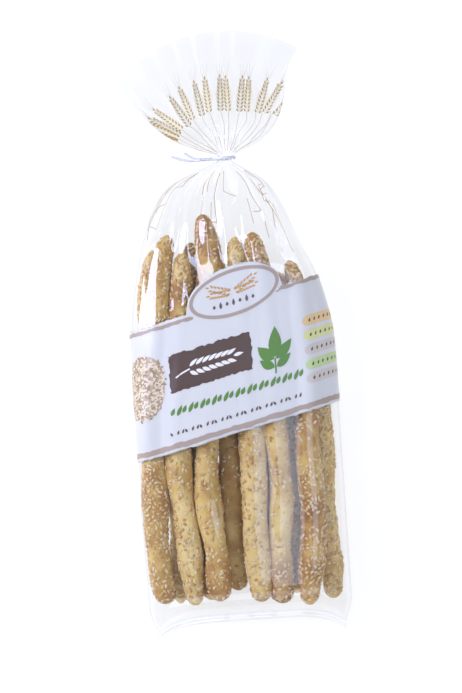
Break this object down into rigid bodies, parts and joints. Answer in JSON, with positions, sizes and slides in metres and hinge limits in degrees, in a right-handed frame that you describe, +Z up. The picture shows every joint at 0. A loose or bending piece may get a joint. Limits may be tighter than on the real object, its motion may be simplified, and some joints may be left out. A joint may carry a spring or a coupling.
{
  "type": "bag of sesame grissini breadsticks",
  "caption": "Clear film bag of long sesame breadsticks lying on its back, tied at a pleated neck with a spread fan above, with a paper band and oval badge round the middle.",
  "frame": {"origin": "on the floor under the bundle of breadsticks, at the middle of the bag's width, on the flat underside of the band", "axes": "+Y along the bag from its sealed bottom to the tied neck and the fan, +X to the right as seen from above with the neck away from the viewer, +Z up from the floor through the shown side"},
  "size_m": [0.1299, 0.3836, 0.0376],
  "materials": {
    "film_over_grissini": "clear glossy film drawn over golden baked breadsticks",
    "printed_paper": "smooth off-white printed paper with taupe borders",
    "pale_plastic": "pale blue plastic-coated wire ribbon"
  },
  "bodies": {
    "root": {"bag": "film_over_grissini", "label_band": "printed_paper", "twist_tie": "pale_plastic"}
  },
  "joints": []
}
